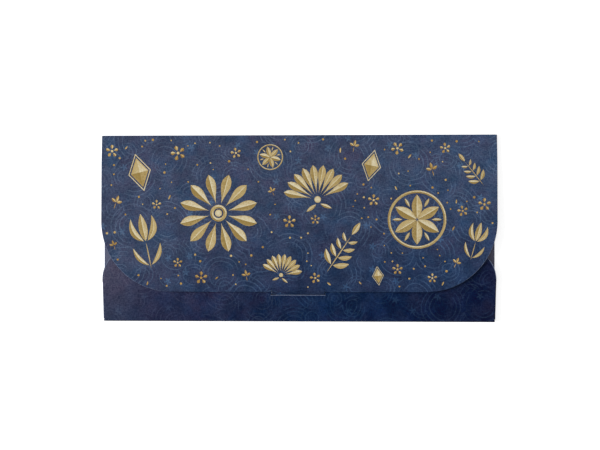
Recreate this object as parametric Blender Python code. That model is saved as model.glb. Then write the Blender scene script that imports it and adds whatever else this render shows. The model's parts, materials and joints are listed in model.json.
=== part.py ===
"""A gift envelope for money or a gift card, folded and glued from one die-cut blank of card.

It lies closed on its back. The outer face of the back panel rests at Z = 0, the closure flap is
folded over the front, and its tongue is tucked down through the slot of the pocket.
+X runs along the long side, +Y towards the top crease and +Z out of the front.
The origin is the middle of the back. All lengths are in metres and all angles in radians.
"""

import math

import bmesh
import bpy

for old in list(bpy.data.objects):
    bpy.data.objects.remove(old, do_unlink=True)

# The card, and the air that is left between its layers
CARD = 0.0004
LAYER_AIR = 0.0003
CREASE_AIR = 0.0003
GLUE_FILM = 0.0001
GLUE_AIR = 0.0001

# The whole envelope: its widest piece is the flap, and it is as high as the folded back
WIDTH = 0.184
HEIGHT = 0.0866

# How far inside the flap's side edge the other pieces end, at each side
CREASE_INSET = 0.0002
BACK_INSET = 0.00125
POCKET_INSET = 0.0005

# The back panel starts as wide as the crease and narrows over its shoulders
SHOULDER = 0.003

# The closure flap, which ends a short neck above the lip of the slot
NECK = 0.00145
FLAP_FLARE = 0.012
FLAP_CORNER = 0.0328

# The front of the pocket, whose sides lean in towards the bottom
POCKET_HEIGHT = 0.0345
POCKET_CORNER = 0.0149
POCKET_LEAN = math.radians(1.6)

# The glue tabs behind the pocket's sides, and the adhesive under them
TAB_WIDTH = 0.012
TAB_SLANT = 0.004
TAB_SETBACK = 0.001
GLUE_WIDTH = 0.005
GLUE_MARGIN = 0.0025

# The tongue, and the slot in the pocket front that it passes through
SLOT_LIP = 0.01235
SLOT_END_AIR = 0.00065
TONGUE_WIDTH = 0.0247
TONGUE_DIP = math.radians(45)
TONGUE_BEND = 0.0012
TONGUE_ROOT = 0.0006
TONGUE_REACH = 0.0085
TONGUE_CORNER = 0.004

# How finely round edges and bends are divided
CORNER_STEPS = 20
BEND_STEPS = 10

# Finishes, each a colour and a roughness
FLAP_PRINT = ((0.045, 0.065, 0.122), 0.6)
POCKET_PRINT = ((0.009, 0.021, 0.058), 0.6)
INNER_FACE = ((0.085, 0.100, 0.160), 0.7)
ADHESIVE = ((0.62, 0.60, 0.52), 0.4)

QUARTER_TURN = math.radians(90)
SHARP_EDGE = math.radians(30)

# Heights of the layers above the ground, from the back panel up
TAB_BOTTOM = CARD + GLUE_FILM + 2 * GLUE_AIR
TAB_MIDDLE = TAB_BOTTOM + CARD / 2
TAB_TOP = TAB_BOTTOM + CARD
FRONT_BOTTOM = TAB_TOP + LAYER_AIR
FRONT_MIDDLE = FRONT_BOTTOM + CARD / 2
FRONT_TOP = FRONT_BOTTOM + CARD

# Half widths, from the middle to a side edge
FLAP_HALF = WIDTH / 2
CREASE_HALF = FLAP_HALF - CREASE_INSET
BACK_HALF = FLAP_HALF - BACK_INSET
POCKET_HALF = FLAP_HALF - POCKET_INSET

# The top crease turns tightly round an air gap, the bottom fold round the pocket
CREASE_INNER = CREASE_AIR / 2
CREASE_OUTER = CREASE_INNER + CARD
CREASE_Z = CARD + CREASE_INNER
BOTTOM_INNER = (FRONT_BOTTOM - CARD) / 2
BOTTOM_OUTER = BOTTOM_INNER + CARD
BOTTOM_Z = CARD + BOTTOM_INNER
SIDE_INNER = (FRONT_BOTTOM - TAB_TOP) / 2
SIDE_OUTER = SIDE_INNER + CARD
SIDE_Z = TAB_TOP + SIDE_INNER

# Lines across the front, by their distance along Y
TOP_Y = HEIGHT / 2
BOTTOM_Y = -HEIGHT / 2
CREASE_Y = TOP_Y - CREASE_OUTER
FOLD_Y = BOTTOM_Y + BOTTOM_OUTER
PANEL_FOOT_Y = FOLD_Y + CREASE_AIR
MOUTH_Y = BOTTOM_Y + POCKET_HEIGHT
CORNER_Y = MOUTH_Y - POCKET_CORNER
CORNER_X = POCKET_HALF - POCKET_CORNER
LIP_Y = BOTTOM_Y + SLOT_LIP
FLAP_EDGE_Y = LIP_Y + NECK
TANGENT_Y = CORNER_Y - POCKET_CORNER * math.sin(POCKET_LEAN)
TAB_HEAD_Y = TANGENT_Y - TAB_SETBACK


def flap_rise():
    """Angle at which the flap climbs from the crease to clear the pocket's mouth."""
    along = CREASE_Y - MOUTH_Y
    above = CREASE_Z - FRONT_TOP
    needed = LAYER_AIR - CREASE_INNER
    return math.asin(needed / math.hypot(along, above)) - math.atan2(above, along)


RISE = flap_rise()
FLAP_LENGTH = (CREASE_Y - FLAP_EDGE_Y) / math.cos(RISE)


def arc(centre, radius, start, end, steps):
    """Points on an arc about centre, from angle start to angle end."""
    points = []
    for i in range(steps + 1):
        turn = start + (end - start) * i / steps
        points.append((centre[0] + radius * math.cos(turn), centre[1] + radius * math.sin(turn)))
    return points


def finish(name, look):
    """A card or adhesive finish, from its colour and roughness."""
    color, roughness = look
    material = bpy.data.materials.new(name)
    material.use_nodes = True
    shader = material.node_tree.nodes["Principled BSDF"]
    shader.inputs["Base Color"].default_value = (*color, 1)
    shader.inputs["Roughness"].default_value = roughness
    shader.inputs["Metallic"].default_value = 0
    material.diffuse_color = (*color, 1)
    return material


def add_object(name, builder, material):
    """Turns a bmesh into a named object with its finish, faces pointing out."""
    bmesh.ops.recalc_face_normals(builder, faces=builder.faces)
    mesh = bpy.data.meshes.new(name)
    builder.to_mesh(mesh)
    builder.free()
    mesh.shade_smooth()
    mesh.set_sharp_from_angle(angle=SHARP_EDGE)
    mesh.materials.append(material)
    piece = bpy.data.objects.new(name, mesh)
    bpy.context.scene.collection.objects.link(piece)
    return piece


def sheet(name, outline, bottom, top, material):
    """A flat piece of the given outline, between two heights."""
    builder = bmesh.new()
    lower = builder.faces.new([builder.verts.new((x, y, bottom)) for x, y in outline])
    raised = bmesh.ops.extrude_face_region(builder, geom=[lower])["geom"]
    moved = [item for item in raised if isinstance(item, bmesh.types.BMVert)]
    bmesh.ops.translate(builder, verts=moved, vec=(0, 0, top - bottom))
    return add_object(name, builder, material)


def band(name, stations, material):
    """A bent strip: each station has its four corners, in the same order round the strip."""
    builder = bmesh.new()
    rings = [[builder.verts.new(corner) for corner in station] for station in stations]
    for ring, following in zip(rings, rings[1:]):
        for i in range(4):
            j = (i + 1) % 4
            builder.faces.new((ring[i], ring[j], following[j], following[i]))
    builder.faces.new(rings[0])
    builder.faces.new(rings[-1])
    return add_object(name, builder, material)


def mirrored(points):
    """The same outline points on the other side of the middle, in the opposite order."""
    return [(-x, y) for x, y in reversed(points)]


def side_x(y):
    """Outermost X of the pocket's leaning side at height y, below its rounded corner."""
    tangent_x = CORNER_X + POCKET_CORNER * math.cos(POCKET_LEAN)
    return tangent_x - (TANGENT_Y - y) * math.tan(POCKET_LEAN)


def crease_strip(name, start, end, material):
    """Part of the top crease, between two angles seen from the end of the axis."""
    stations = []
    for i in range(BEND_STEPS + 1):
        turn = start + (end - start) * i / BEND_STEPS
        y, z = math.cos(turn), math.sin(turn)
        stations.append((
            (-CREASE_HALF, CREASE_OUTER * y, CREASE_OUTER * z),
            (CREASE_HALF, CREASE_OUTER * y, CREASE_OUTER * z),
            (CREASE_HALF, CREASE_INNER * y, CREASE_INNER * z),
            (-CREASE_HALF, CREASE_INNER * y, CREASE_INNER * z),
        ))
    return band(name, stations, material)


def back_panel(material):
    """The flat back, with the shoulders that narrow it below the crease."""
    top_y = CREASE_Y - CREASE_AIR
    right = [
        (BACK_HALF, PANEL_FOOT_Y),
        (BACK_HALF, top_y - SHOULDER),
        (CREASE_HALF, top_y),
    ]
    return sheet("back_panel", right + mirrored(right), 0, CARD, material)


def bottom_fold(material):
    """The half turn that joins the back to the pocket front."""
    stations = []
    for i in range(2 * BEND_STEPS + 1):
        turn = 3 * QUARTER_TURN - QUARTER_TURN * i / BEND_STEPS
        y, z = math.cos(turn), math.sin(turn)
        outer = (FOLD_Y + BOTTOM_OUTER * y, BOTTOM_Z + BOTTOM_OUTER * z)
        inner = (FOLD_Y + BOTTOM_INNER * y, BOTTOM_Z + BOTTOM_INNER * z)
        stations.append((
            (-BACK_HALF, *outer),
            (BACK_HALF, *outer),
            (BACK_HALF, *inner),
            (-BACK_HALF, *inner),
        ))
    return band("bottom_fold", stations, material)


def slot_height():
    """Room that the dipping tongue needs to pass through the card with air on both sides."""
    return (CARD + 2 * LAYER_AIR) / math.sin(TONGUE_DIP) + CARD / math.tan(TONGUE_DIP)


SLOT_Y = LIP_Y + slot_height() / 2


def front_panel(material):
    """The pocket's front. Its sides step in where the tab folds begin."""
    fold_reach = SIDE_OUTER + CREASE_AIR
    ear_y = TAB_HEAD_Y + CREASE_AIR
    right = [
        (side_x(PANEL_FOOT_Y) - fold_reach, PANEL_FOOT_Y),
        (side_x(ear_y) - fold_reach, ear_y),
        (side_x(ear_y), ear_y),
    ]
    right += arc((CORNER_X, CORNER_Y), POCKET_CORNER, -POCKET_LEAN, QUARTER_TURN, CORNER_STEPS)
    panel = sheet("front_panel", right + mirrored(right), FRONT_BOTTOM, FRONT_TOP, material)

    half = TONGUE_WIDTH / 2 + SLOT_END_AIR
    high = LIP_Y + slot_height()
    opening = [(half, LIP_Y), (half, high), (-half, high), (-half, LIP_Y)]
    cutter = sheet("slot_cutter", opening, FRONT_BOTTOM - CARD, FRONT_TOP + CARD, material)
    cutter.hide_render = True
    cutter.display_type = "WIRE"
    cut = panel.modifiers.new("slot", "BOOLEAN")
    cut.operation = "DIFFERENCE"
    cut.solver = "EXACT"
    cut.object = cutter
    return panel


def side_fold(name, side, material):
    """The half turn from the pocket front to a glue tab. side is 1 for right and -1 for left."""
    stations = []
    for i in range(2 * BEND_STEPS + 1):
        turn = QUARTER_TURN - QUARTER_TURN * i / BEND_STEPS
        reach, lift = math.cos(turn), math.sin(turn)
        corners = []
        for radius, y in (
            (SIDE_OUTER, PANEL_FOOT_Y),
            (SIDE_OUTER, TAB_HEAD_Y),
            (SIDE_INNER, TAB_HEAD_Y),
            (SIDE_INNER, PANEL_FOOT_Y),
        ):
            x = side_x(y) - SIDE_OUTER + radius * reach
            corners.append((side * x, y, SIDE_Z + radius * lift))
        stations.append(corners)
    return band(name, stations, material)


def tab_root_x(y):
    """X at which a glue tab leaves its fold."""
    return side_x(y) - SIDE_OUTER - CREASE_AIR


def glue_tab(name, side, material):
    """A tab with slanted ends, behind the pocket front."""
    free_foot_y = PANEL_FOOT_Y + TAB_SLANT
    free_head_y = TAB_HEAD_Y - TAB_SLANT
    outline = [
        (side * tab_root_x(PANEL_FOOT_Y), PANEL_FOOT_Y),
        (side * tab_root_x(TAB_HEAD_Y), TAB_HEAD_Y),
        (side * (tab_root_x(free_head_y) - TAB_WIDTH), free_head_y),
        (side * (tab_root_x(free_foot_y) - TAB_WIDTH), free_foot_y),
    ]
    return sheet(name, outline, TAB_BOTTOM, TAB_TOP, material)


def glue_line(name, side, material):
    """A stripe of adhesive between a tab and the back panel, along the middle of the tab."""
    low = PANEL_FOOT_Y + TAB_SLANT / 2 + GLUE_MARGIN
    high = TAB_HEAD_Y - TAB_SLANT / 2 - GLUE_MARGIN
    middle = TAB_WIDTH / 2
    outline = []
    for y, edge in ((low, GLUE_WIDTH / 2), (high, GLUE_WIDTH / 2)):
        outline.append((side * (tab_root_x(y) - middle + edge), y))
    for y, edge in ((high, -GLUE_WIDTH / 2), (low, -GLUE_WIDTH / 2)):
        outline.append((side * (tab_root_x(y) - middle + edge), y))
    bottom = CARD + GLUE_AIR
    return sheet(name, outline, bottom, bottom + GLUE_FILM, material)


def flap_hinge():
    """An empty on the axis that the flap turns about, at the outermost line of the crease."""
    hinge = bpy.data.objects.new("flap_hinge", None)
    hinge.empty_display_size = HEIGHT / 2
    hinge.location = (0, TOP_Y, CREASE_Z)
    bpy.context.scene.collection.objects.link(hinge)
    return hinge


def tongue_path():
    """Corner points of the tongue's middle line, as (y, z), from the flap to its free end.

    It leaves in line with the flap, dips through the middle of the slot and lies down behind the
    pocket front, in the layer that the glue tabs are in.
    """
    middle = CREASE_INNER + CARD / 2
    flap_start = (CREASE_Y + middle * math.sin(RISE), CREASE_Z + middle * math.cos(RISE))
    dip = (-math.cos(TONGUE_DIP), -math.sin(TONGUE_DIP))
    rise = (-math.cos(RISE), math.sin(RISE))
    # Distance along the flap at which the dipping line through the slot meets it
    gap = (SLOT_Y - flap_start[0], FRONT_MIDDLE - flap_start[1])
    along = (gap[0] * dip[1] - gap[1] * dip[0]) / (rise[0] * dip[1] - rise[1] * dip[0])
    knee = (flap_start[0] + along * rise[0], flap_start[1] + along * rise[1])
    ankle = (SLOT_Y - (FRONT_MIDDLE - TAB_MIDDLE) / math.tan(TONGUE_DIP), TAB_MIDDLE)
    return along, knee, ankle


ALONG_TO_KNEE, KNEE, ANKLE = tongue_path()
KNEE_TANGENT = TONGUE_BEND * math.tan((TONGUE_DIP + RISE) / 2)
ANKLE_TANGENT = TONGUE_BEND * math.tan(TONGUE_DIP / 2)
ROOT_ALONG = ALONG_TO_KNEE - KNEE_TANGENT - TONGUE_ROOT


def closure_flap(hinge, material):
    """The flap, drawn flat below its crease and then set at its rise.

    A shallow notch in its lower edge takes the root of the tongue.
    """
    notch = TONGUE_WIDTH / 2 + CREASE_AIR
    corner_x = FLAP_HALF - FLAP_CORNER
    corner_y = FLAP_CORNER - FLAP_LENGTH
    right = [(notch, CREASE_AIR - ROOT_ALONG), (notch, -FLAP_LENGTH)]
    right += arc((corner_x, corner_y), FLAP_CORNER, -QUARTER_TURN, 0, CORNER_STEPS)
    right += [(FLAP_HALF, -FLAP_FLARE), (CREASE_HALF, -CREASE_AIR)]
    flap = sheet("closure_flap", right + mirrored(right), CREASE_INNER, CREASE_OUTER, material)
    flap.parent = hinge
    flap.location = (0, -CREASE_OUTER, 0)
    flap.rotation_euler = (-RISE, 0, 0)
    return flap


def tongue_line():
    """The tongue's middle line as (y, z, direction), bends included."""
    line = []
    line.append((
        KNEE[0] + (KNEE_TANGENT + TONGUE_ROOT) * math.cos(RISE),
        KNEE[1] - (KNEE_TANGENT + TONGUE_ROOT) * math.sin(RISE),
        -RISE,
    ))
    knee_start = (KNEE[0] + KNEE_TANGENT * math.cos(RISE), KNEE[1] - KNEE_TANGENT * math.sin(RISE))
    centre = (
        knee_start[0] - TONGUE_BEND * math.sin(RISE),
        knee_start[1] - TONGUE_BEND * math.cos(RISE),
    )
    for i in range(BEND_STEPS + 1):
        lean = -RISE + (TONGUE_DIP + RISE) * i / BEND_STEPS
        y = centre[0] - TONGUE_BEND * math.sin(lean)
        z = centre[1] + TONGUE_BEND * math.cos(lean)
        line.append((y, z, lean))
    centre = (ANKLE[0] - ANKLE_TANGENT, ANKLE[1] + TONGUE_BEND)
    for i in range(BEND_STEPS + 1):
        lean = TONGUE_DIP * (1 - i / BEND_STEPS)
        y = centre[0] + TONGUE_BEND * math.sin(lean)
        z = centre[1] - TONGUE_BEND * math.cos(lean)
        line.append((y, z, lean))
    return line


def tuck_tongue(hinge, material):
    """The tongue, bent down through the slot, with round corners at its free end."""
    end_y = LIP_Y - TONGUE_REACH
    widths = [(y, z, lean, TONGUE_WIDTH / 2) for y, z, lean in tongue_line()]
    for i in range(CORNER_STEPS + 1):
        turn = QUARTER_TURN * i / CORNER_STEPS
        y = end_y + TONGUE_CORNER * (1 - math.sin(turn))
        half = TONGUE_WIDTH / 2 - TONGUE_CORNER * (1 - math.cos(turn))
        widths.append((y, TAB_MIDDLE, 0, half))
    stations = []
    for y, z, lean, half in widths:
        across_y = CARD / 2 * math.sin(lean)
        across_z = CARD / 2 * math.cos(lean)
        front = (y - across_y - TOP_Y, z + across_z - CREASE_Z)
        back = (y + across_y - TOP_Y, z - across_z - CREASE_Z)
        stations.append(((-half, *front), (half, *front), (half, *back), (-half, *back)))
    tongue = band("tuck_tongue", stations, material)
    tongue.parent = hinge
    return tongue


def build():
    """Makes every piece of the closed envelope."""
    flap_card = finish("flap_card", FLAP_PRINT)
    pocket_card = finish("pocket_card", POCKET_PRINT)
    inner_card = finish("inner_card", INNER_FACE)
    adhesive = finish("adhesive", ADHESIVE)

    back_panel(inner_card)
    bottom_fold(pocket_card)
    front_panel(pocket_card)
    for side, word in ((-1, "left"), (1, "right")):
        side_fold(f"{word}_side_fold", side, pocket_card)
        glue_tab(f"{word}_glue_tab", side, inner_card)
        glue_line(f"{word}_glue_line", side, adhesive)

    # Half of the air between the two halves of the crease, as an angle at their outer face
    seam = math.asin(CREASE_AIR / (2 * CREASE_OUTER))
    back_half = crease_strip("top_fold_back", -QUARTER_TURN, -seam, flap_card)
    back_half.location = (0, CREASE_Y, CREASE_Z)

    hinge = flap_hinge()
    flap_half = crease_strip("top_fold_flap", seam, QUARTER_TURN - RISE, flap_card)
    flap_half.parent = hinge
    flap_half.location = (0, -CREASE_OUTER, 0)
    closure_flap(hinge, flap_card)
    tuck_tongue(hinge, flap_card)


build()
bpy.context.view_layer.update()
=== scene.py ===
# %% [markdown]
# # A gift envelope, folded from one blank of printed card
# The real envelope is one die-cut sheet, printed on one side, creased, glued at the two sides of the
# pocket and closed by a tongue in a slot. Here too, each sheet is cut flat, thickened and folded.
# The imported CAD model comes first, because every piece moves with one of its bodies.

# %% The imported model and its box
import json
import math
import random

import bmesh
import bpy
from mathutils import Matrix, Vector


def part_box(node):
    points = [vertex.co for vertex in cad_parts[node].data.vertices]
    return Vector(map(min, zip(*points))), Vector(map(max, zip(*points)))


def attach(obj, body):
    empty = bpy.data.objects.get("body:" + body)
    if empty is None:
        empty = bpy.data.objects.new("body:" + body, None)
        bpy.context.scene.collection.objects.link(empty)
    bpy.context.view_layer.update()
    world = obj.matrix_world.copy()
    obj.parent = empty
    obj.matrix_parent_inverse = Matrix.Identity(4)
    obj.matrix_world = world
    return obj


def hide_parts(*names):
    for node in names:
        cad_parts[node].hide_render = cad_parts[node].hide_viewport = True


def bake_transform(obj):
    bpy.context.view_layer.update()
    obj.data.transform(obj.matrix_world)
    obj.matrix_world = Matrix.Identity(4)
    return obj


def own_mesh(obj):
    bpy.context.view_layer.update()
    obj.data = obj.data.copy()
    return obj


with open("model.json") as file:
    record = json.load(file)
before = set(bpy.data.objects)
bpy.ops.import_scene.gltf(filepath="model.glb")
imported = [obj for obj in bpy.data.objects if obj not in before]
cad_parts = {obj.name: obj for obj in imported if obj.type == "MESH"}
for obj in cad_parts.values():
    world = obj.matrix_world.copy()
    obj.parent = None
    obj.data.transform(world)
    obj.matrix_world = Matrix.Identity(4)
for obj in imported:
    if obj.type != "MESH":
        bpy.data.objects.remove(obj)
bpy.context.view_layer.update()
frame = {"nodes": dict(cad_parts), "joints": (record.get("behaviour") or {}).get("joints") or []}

MM = 0.001

# %% [markdown]
# ## Sizes of the folded card
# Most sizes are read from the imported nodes, so the dressed envelope fits the CAD model exactly.
# What a box can't tell, such as the radius of a corner, is written as a real size. The hinge lies
# on the outermost line of the top crease, so its height is the outer radius of that crease.

# %% Sizes from the frame, and the few that it can't tell
_, back_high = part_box("back_panel")
_, fold_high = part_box("bottom_fold")
front_low, front_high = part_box("front_panel")
_, flap_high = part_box("closure_flap")
_, tab_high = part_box("right_glue_tab")
tongue_low, tongue_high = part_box("tuck_tongue")
hinge = Vector(frame["joints"][0]["pos_m"])

CARD = back_high.z
CREASE_OUTER = hinge.z
CREASE_INNER = CREASE_OUTER - CARD
CREASE_Y = hinge.y - CREASE_OUTER
CREASE_HALF = back_high.x
BACK_HALF = fold_high.x
FLAP_HALF = flap_high.x
FOLD_Y = fold_high.y
MOUTH_Y = front_high.y
FOOT_Y = front_low.y
TONGUE_HALF = tongue_high.x
TONGUE_END_Y = tongue_low.y

LAYER_AIR = 0.3 * MM
CREASE_AIR = 0.3 * MM
SHOULDER = 3 * MM
NECK = 1.45 * MM
SLOT_LIP = 12.35 * MM
FLAP_FLARE = 12 * MM
FLAP_CORNER = 32.8 * MM
POCKET_CORNER = 14.9 * MM
POCKET_LEAN = math.radians(1.6)
POCKET_INSET = 0.5 * MM
TAB_WIDTH = 12 * MM
TAB_SLANT = 4 * MM
TAB_SETBACK = 1 * MM
SLOT_END_AIR = 0.65 * MM
TONGUE_DIP = math.radians(45)
TONGUE_BEND = 1.2 * MM
TONGUE_ROOT = 0.6 * MM
TONGUE_CORNER = 4 * MM

# Radius of each crease along the middle of the card, and places on the front
CREASE_RADIUS = CREASE_INNER + CARD / 2
FOLD_RADIUS = (fold_high.z - CARD) / 2
SIDE_RADIUS = (front_high.z - tab_high.z) / 2
POCKET_HALF = FLAP_HALF - POCKET_INSET
LIP_Y = -hinge.y + SLOT_LIP
FLAP_EDGE_Y = LIP_Y + NECK
SLOT_HIGH = (CARD + 2 * LAYER_AIR) / math.sin(TONGUE_DIP) + CARD / math.tan(TONGUE_DIP)
SLOT_HALF = TONGUE_HALF + SLOT_END_AIR
CORNER_X = POCKET_HALF - POCKET_CORNER
CORNER_Y = MOUTH_Y - POCKET_CORNER
TANGENT_Y = CORNER_Y - POCKET_CORNER * math.sin(POCKET_LEAN)
HEAD_Y = TANGENT_Y - TAB_SETBACK


def flap_rise():
    """Angle at which the flap climbs from its crease to clear the pocket's mouth."""
    along, above = CREASE_Y - MOUTH_Y, CREASE_OUTER - front_high.z
    climb = (LAYER_AIR - CREASE_INNER) / math.hypot(along, above)
    return math.asin(climb) - math.atan2(above, along)


RISE = flap_rise()
FLAP_LENGTH = (CREASE_Y - FLAP_EDGE_Y) / math.cos(RISE)
CREASE_TURN = math.pi - RISE
CREASE_ARC = CREASE_RADIUS * CREASE_TURN
FOLD_ARC = FOLD_RADIUS * math.pi
SIDE_ARC = SIDE_RADIUS * math.pi
print("card", round(CARD / MM, 3), "mm, flap rises", round(math.degrees(RISE), 3), "degrees")

# %% [markdown]
# ## The camera
# It looks straight down, from a little to the right. Its distance is a guess that gives the slight
# narrowing towards the left, and the focal length follows from it.

# %% Camera
CAMERA_AWAY = 650 * MM
CAMERA_TURN = math.radians(2.81)
AIM = Vector((0.89, 1.51, 1.5)) * MM
LENS = 84.07
SENSOR = 36


def add_object(name, data):
    """A new object in the scene."""
    made = bpy.data.objects.new(name, data)
    bpy.context.scene.collection.objects.link(made)
    return made


camera = add_object("camera", bpy.data.cameras.new("camera"))
camera.data.lens = LENS
camera.data.sensor_width = SENSOR
camera.location = AIM + CAMERA_AWAY * Vector((math.sin(CAMERA_TURN), 0, math.cos(CAMERA_TURN)))
camera.rotation_euler = (0, CAMERA_TURN, 0)
bpy.context.scene.camera = camera
print("camera", [round(c, 4) for c in camera.location])

# %% [markdown]
# ## Sums as node trees
# Materials and shapes are worked out by nodes. Dozens of Math nodes added by hand hide the idea, so
# a small class wraps a socket and turns Python sums into nodes.

# %% Wires and benches
def joining(operation, turned=False):
    """The method for one operator. Turned is its reflected form, as in 1 - wire."""
    def method(self, other):
        terms = (other, self) if turned else (self, other)
        return self.bench.sum(operation, *terms)
    return method


class Wire:
    """An output in a node tree. A sum on it adds the node that works the sum out."""

    def __init__(self, bench, socket):
        self.bench = bench
        self.socket = socket

    def __getitem__(self, name):
        return Wire(self.bench, self.socket.node.outputs[name])

    __add__, __radd__ = joining("ADD"), joining("ADD", True)
    __sub__, __rsub__ = joining("SUBTRACT"), joining("SUBTRACT", True)
    __mul__, __rmul__ = joining("MULTIPLY"), joining("MULTIPLY", True)
    __truediv__, __rtruediv__ = joining("DIVIDE"), joining("DIVIDE", True)


class Bench:
    """A node tree on which nodes are laid out one after another."""

    def __init__(self, tree):
        self.tree = tree

    def node(self, kind, settings=None, values=None, out=0):
        """Adds a node, sets its own settings first and then its sockets."""
        made = self.tree.nodes.new(kind)
        for name, value in (settings or {}).items():
            setattr(made, name, value)
        self.feed(made, values or {})
        return Wire(self, made.outputs[out])

    def feed(self, node, values):
        """Links wires to a node's sockets, or sets plain values on them."""
        for name, value in values.items():
            socket = node.inputs[name]
            if isinstance(value, Wire):
                self.tree.links.new(value.socket, socket)
            elif isinstance(value, tuple) and socket.type == "RGBA":
                socket.default_value = (*value, 1)
            else:
                socket.default_value = value

    def step(self, kind, shape, values=None, settings=None):
        """A geometry node that takes a shape in its first socket and changes it."""
        return self.node(f"GeometryNode{kind}", settings, {0: shape, **(values or {})})

    def end(self, wire):
        """Joins the last wire to the output of the tree, and gives the tree."""
        self.feed(self.tree.nodes.new("NodeGroupOutput"), {0: wire})
        return self.tree

    def is_vector(self, term):
        """Whether a term of a sum is a vector."""
        if isinstance(term, Wire):
            return term.socket.type in ("VECTOR", "RGBA")
        return isinstance(term, (tuple, Vector))

    def sum(self, operation, *terms):
        """One Math node, or one Vector Math node where a term is a vector."""
        vectors = [self.is_vector(term) for term in terms]
        kind = "ShaderNodeVectorMath" if any(vectors) else "ShaderNodeMath"
        values = dict(enumerate(terms))
        if operation == "MULTIPLY" and any(vectors) and not all(vectors):
            vector, number = terms if vectors[0] else reversed(terms)
            operation, values = "SCALE", {0: vector, "Scale": number}
        out = "Value" if operation == "DOT_PRODUCT" else 0
        return self.node(kind, {"operation": operation}, values, out)

    def split(self, vector):
        """The numbers X, Y and Z of a vector."""
        return self.node("ShaderNodeSeparateXYZ", None, {0: vector})

    def tint(self, mask, low, high):
        """A colour between two colours."""
        return self.node("ShaderNodeMix", {"data_type": "RGBA"}, {0: mask, 6: low, 7: high}, 2)

    def ease(self, value, start, end):
        """0 below start and 1 above end, with a smooth step between them."""
        settings = {"interpolation_type": "SMOOTHSTEP"}
        return self.node("ShaderNodeMapRange", settings, {0: value, 1: start, 2: end})

    def noise(self, place, size, detail=2.0, roughness=0.5):
        """Soft noise from 0 to 1, whose blots are about as large as size."""
        values = {"Vector": place, "Scale": 1 / size, "Detail": detail, "Roughness": roughness}
        return self.node("ShaderNodeTexNoise", None, values)

    def nearest(self, place, size, scatter):
        """The nearest of centres scattered about size apart, as a distance in sizes."""
        settings = {"voronoi_dimensions": "2D", "feature": "F1"}
        values = {"Vector": place, "Scale": 1 / size, "Randomness": scatter}
        return self.node("ShaderNodeTexVoronoi", settings, values)

    def carried(self, name):
        """A number that the mesh carries as an attribute."""
        return self.node("ShaderNodeAttribute", {"attribute_name": name}, None, "Fac")

    def bump(self, height, depth, strength=1.0):
        """Fine relief, in metres."""
        values = {"Height": height, "Distance": depth, "Strength": strength}
        return self.node("ShaderNodeBump", None, values)


def new_finish(name):
    """A material, its bench and its shader."""
    material = bpy.data.materials.new(name)
    material.use_nodes = True
    return material, Bench(material.node_tree), material.node_tree.nodes["Principled BSDF"]


print("benches ready")

# %% [markdown]
# ## The printed face, with painted shade
# The outside has a mottled navy ground with faint rings and florets in a paler blue. It darkens
# towards the flap's lower edge and is darkest on the pocket, as painted shade on the navy print. As
# a formula, it is sharp at any size.
# Every sheet has a UV map named blank, in metres on the flat sheet, so the print runs over the
# creases as ink does. The distance to scattered centres makes rings, and the direction to them
# makes petals. Noise bends the distance a little, so no ring is quite round.

# %% Rings and florets
RING_SCATTER = 0.85
RING_WAVER = 14
LINE_EDGE = (1.6, 0.3)
FLORET_SCATTER = 0.9
PETALS = 5
PETAL_NOTCH = 0.32
PETAL_EDGE = (0.80, 1.15)


def paper_place(bench):
    """Place on the flat blank, in millimetres."""
    return bench.node("ShaderNodeUVMap", {"uv_map": "blank"}) * (1 / MM)


def rings(bench, place, cell, pitch, line, inner, outer):
    """Thin rings between two radii round scattered centres, as a mask. Sizes are in mm."""
    away = bench.nearest(place, cell, RING_SCATTER) * cell
    away = away + (bench.noise(place, cell / 3, 1.0) - 0.5) * (cell / RING_WAVER)
    ridge = bench.sum("ABSOLUTE", bench.sum("FRACT", away / pitch) - 0.5) * 2
    drawn = bench.ease(ridge, *(1 - share * line / pitch for share in LINE_EDGE))
    return drawn * bench.ease(away, inner, inner + pitch) * (1 - bench.ease(away, outer, outer + pitch))


def florets(bench, place, cell, radius, share):
    """Small flowers round a share of the scattered centres, as a mask."""
    found = bench.nearest(place, cell, FLORET_SCATTER)
    away = bench.split(place - found["Position"])
    chance = bench.split(found["Color"])
    turn = bench.sum("ARCTAN2", away["Y"], away["X"]) * PETALS + chance["Y"] * math.tau
    petal = bench.sum("COSINE", turn) * PETAL_NOTCH + (1 - PETAL_NOTCH)
    flower = 1 - bench.ease(found * (cell / radius) / petal, *PETAL_EDGE)
    return flower * bench.sum("LESS_THAN", chance, share)


# %% [markdown]
# The ground runs through a few colours from one end of the card to the other, under blots of
# purple and teal ink at three scales. That run is painted shade on the navy print: lighter at the top
# of the flap and at the left, darker towards the flap's lower edge and across the pocket to its right.
# On the pocket it also grows paler from the bottom fold up to the mouth, as painted light and shade.
# Fibres of the paper change the red and green of the ink more than the blue, and add a little painted
# sheen. Where the ink is rubbed off, at the rounded corners and along the slot, the pale core of the
# card shows: the sheets carry an attribute named wear, which is 1 where the rub is worst.

# %% Print and painted shade on the card
PURPLE_CAST = (1.20, 0.80, 0.87)
TEAL_CAST = (0.55, 1.10, 1.22)
# Size, cast and strength of each layer of blots, and how far each is shifted from the last
BLOTS = (
    (17, PURPLE_CAST, 1.6), (13, TEAL_CAST, 1.6), (5.5, PURPLE_CAST, 0.5),
    (4.6, TEAL_CAST, 0.5), (2.2, PURPLE_CAST, 0.4), (1.8, TEAL_CAST, 0.4),
)
BLOT_SHIFT = Vector((31, 57, 0))
BLOT_EDGE = (0.42, 0.70)
BLOT_ROUGH = 0.62
CLOUD_SHIFT = (13.0, 29.0, 0.0)
CLOUD_SIZE = 9
CLOUD_RANGE = (0.34, 0.66)
CLOUD_LIFT = (0.016, 0.012, 0.004)
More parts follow.
